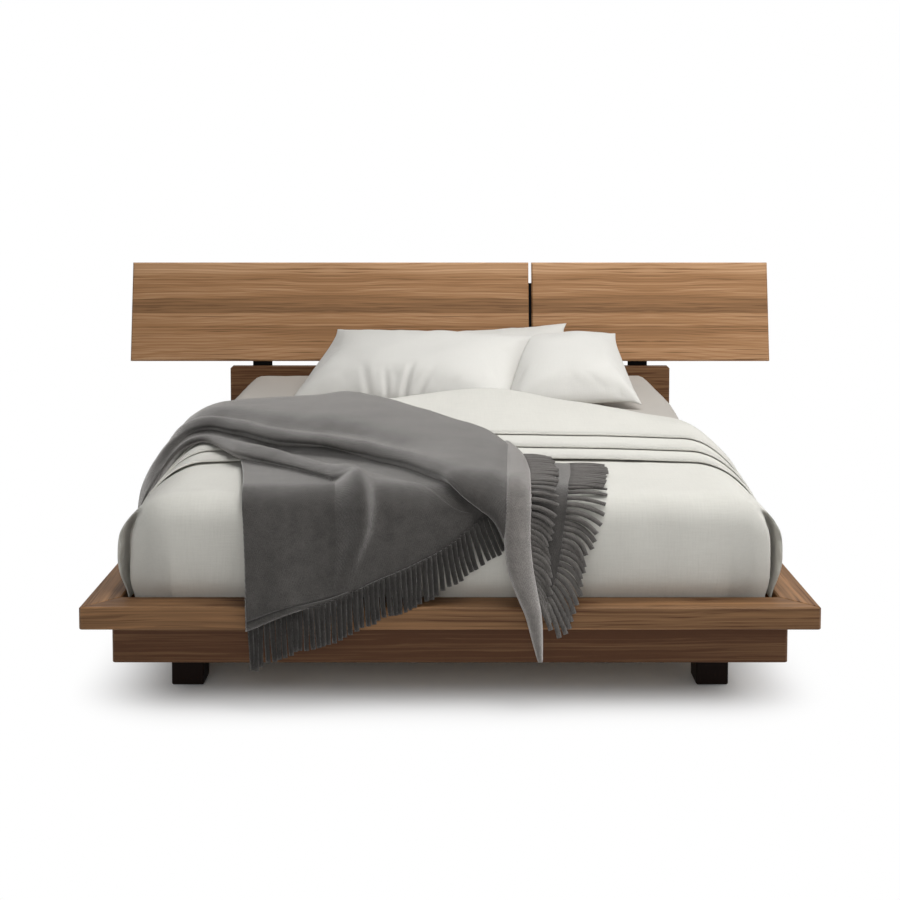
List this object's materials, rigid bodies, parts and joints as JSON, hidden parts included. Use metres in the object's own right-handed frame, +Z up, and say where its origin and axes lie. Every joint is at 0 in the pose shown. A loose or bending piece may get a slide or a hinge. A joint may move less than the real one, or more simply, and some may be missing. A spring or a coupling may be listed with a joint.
{
  "type": "platform bed",
  "caption": "Low walnut platform bed with a mitred rim, block feet and a wide reclined split headboard, dressed with mattress, cover, pillows and a fringed wool throw.",
  "frame": {"origin": "on the floor, under the middle of the bed's outline", "axes": "+X to the right seen from the foot end, +Y from the foot towards the head, +Z up"},
  "size_m": [2.459, 2.261, 0.8849],
  "materials": {
    "walnut": "satin",
    "dark_stained_wood": "satin",
    "black_steel": "matte",
    "zinc_steel": "satin",
    "glide_plastic": "matte",
    "pine": "matte",
    "mattress_ticking": "matte",
    "grey_cotton": "matte",
    "pale_linen": "matte",
    "white_cotton": "matte",
    "grey_wool": "matte"
  },
  "bodies": {
    "frame": {"apron_foot": "walnut", "apron_left": "walnut", "apron_right": "walnut", "bearer_foot": "pine", "bearer_head": "pine", "bracket_bolts": "zinc_steel", "bracket_screws": "zinc_steel", "centre_beam": "pine", "centre_leg_front": "pine", "centre_leg_rear": "pine", "corner_block_left": "pine", "corner_block_right": "pine", "foot_bolts": "zinc_steel", "foot_front_left": "dark_stained_wood", "foot_front_right": "dark_stained_wood", "foot_glides": "glide_plastic", "foot_rear_left": "dark_stained_wood", "foot_rear_right": "dark_stained_wood", "head_angle_left": "black_steel", "head_angle_right": "black_steel", "headboard_bracket_left": "black_steel", "headboard_bracket_right": "black_steel", "headboard_joining_plate": "black_steel", "headboard_panel_left": "walnut", "headboard_panel_right": "walnut", "headrail": "walnut", "joining_plate_screws": "zinc_steel", "ledger_left": "pine", "ledger_right": "pine", "rim_foot": "walnut", "rim_left": "walnut", "rim_right": "walnut", "slat_01": "pine", "slat_02": "pine", "slat_03": "pine", "slat_04": "pine", "slat_05": "pine", "slat_06": "pine", "slat_07": "pine", "slat_08": "pine", "slat_09": "pine", "slat_10": "pine", "slat_11": "pine", "slat_12": "pine", "slat_13": "pine"},
    "leveller_front": {"leveller_front": "zinc_steel"},
    "leveller_rear": {"leveller_rear": "zinc_steel"},
    "bedding": {"mattress": "mattress_ticking", "fitted_sheet": "grey_cotton", "coverlet": "pale_linen", "coverlet_cuff": "pale_linen"},
    "pillow_back": {"pillow_back": "white_cotton"},
    "pillow_right": {"pillow_right": "white_cotton"},
    "pillow_left": {"pillow_left": "white_cotton"},
    "throw": {"throw": "grey_wool"}
  },
  "joints": [
    {"name": "mattress_lift", "type": "slide", "parent": "frame", "child": "bedding", "axis": [0, 0, 1], "range_m": [0, 0.32]},
    {"name": "pillow_back_lift", "type": "slide", "parent": "bedding", "child": "pillow_back", "axis": [0, 0, 1], "range_m": [0, 0.25]},
    {"name": "pillow_right_lift", "type": "slide", "parent": "pillow_back", "child": "pillow_right", "axis": [0, 0, 1], "range_m": [0, 0.25]},
    {"name": "pillow_left_lift", "type": "slide", "parent": "pillow_right", "child": "pillow_left", "axis": [0, 0, 1], "range_m": [0, 0.25]},
    {"name": "throw_lift", "type": "slide", "parent": "bedding", "child": "throw", "axis": [0, 0, 1], "range_m": [0, 0.25]},
    {"name": "leveller_front_screw", "type": "slide", "parent": "frame", "child": "leveller_front", "axis": [0, 0, 1], "range_m": [0, 0.012]},
    {"name": "leveller_rear_screw", "type": "slide", "parent": "frame", "child": "leveller_rear", "axis": [0, 0, 1], "range_m": [0, 0.012]}
  ]
}
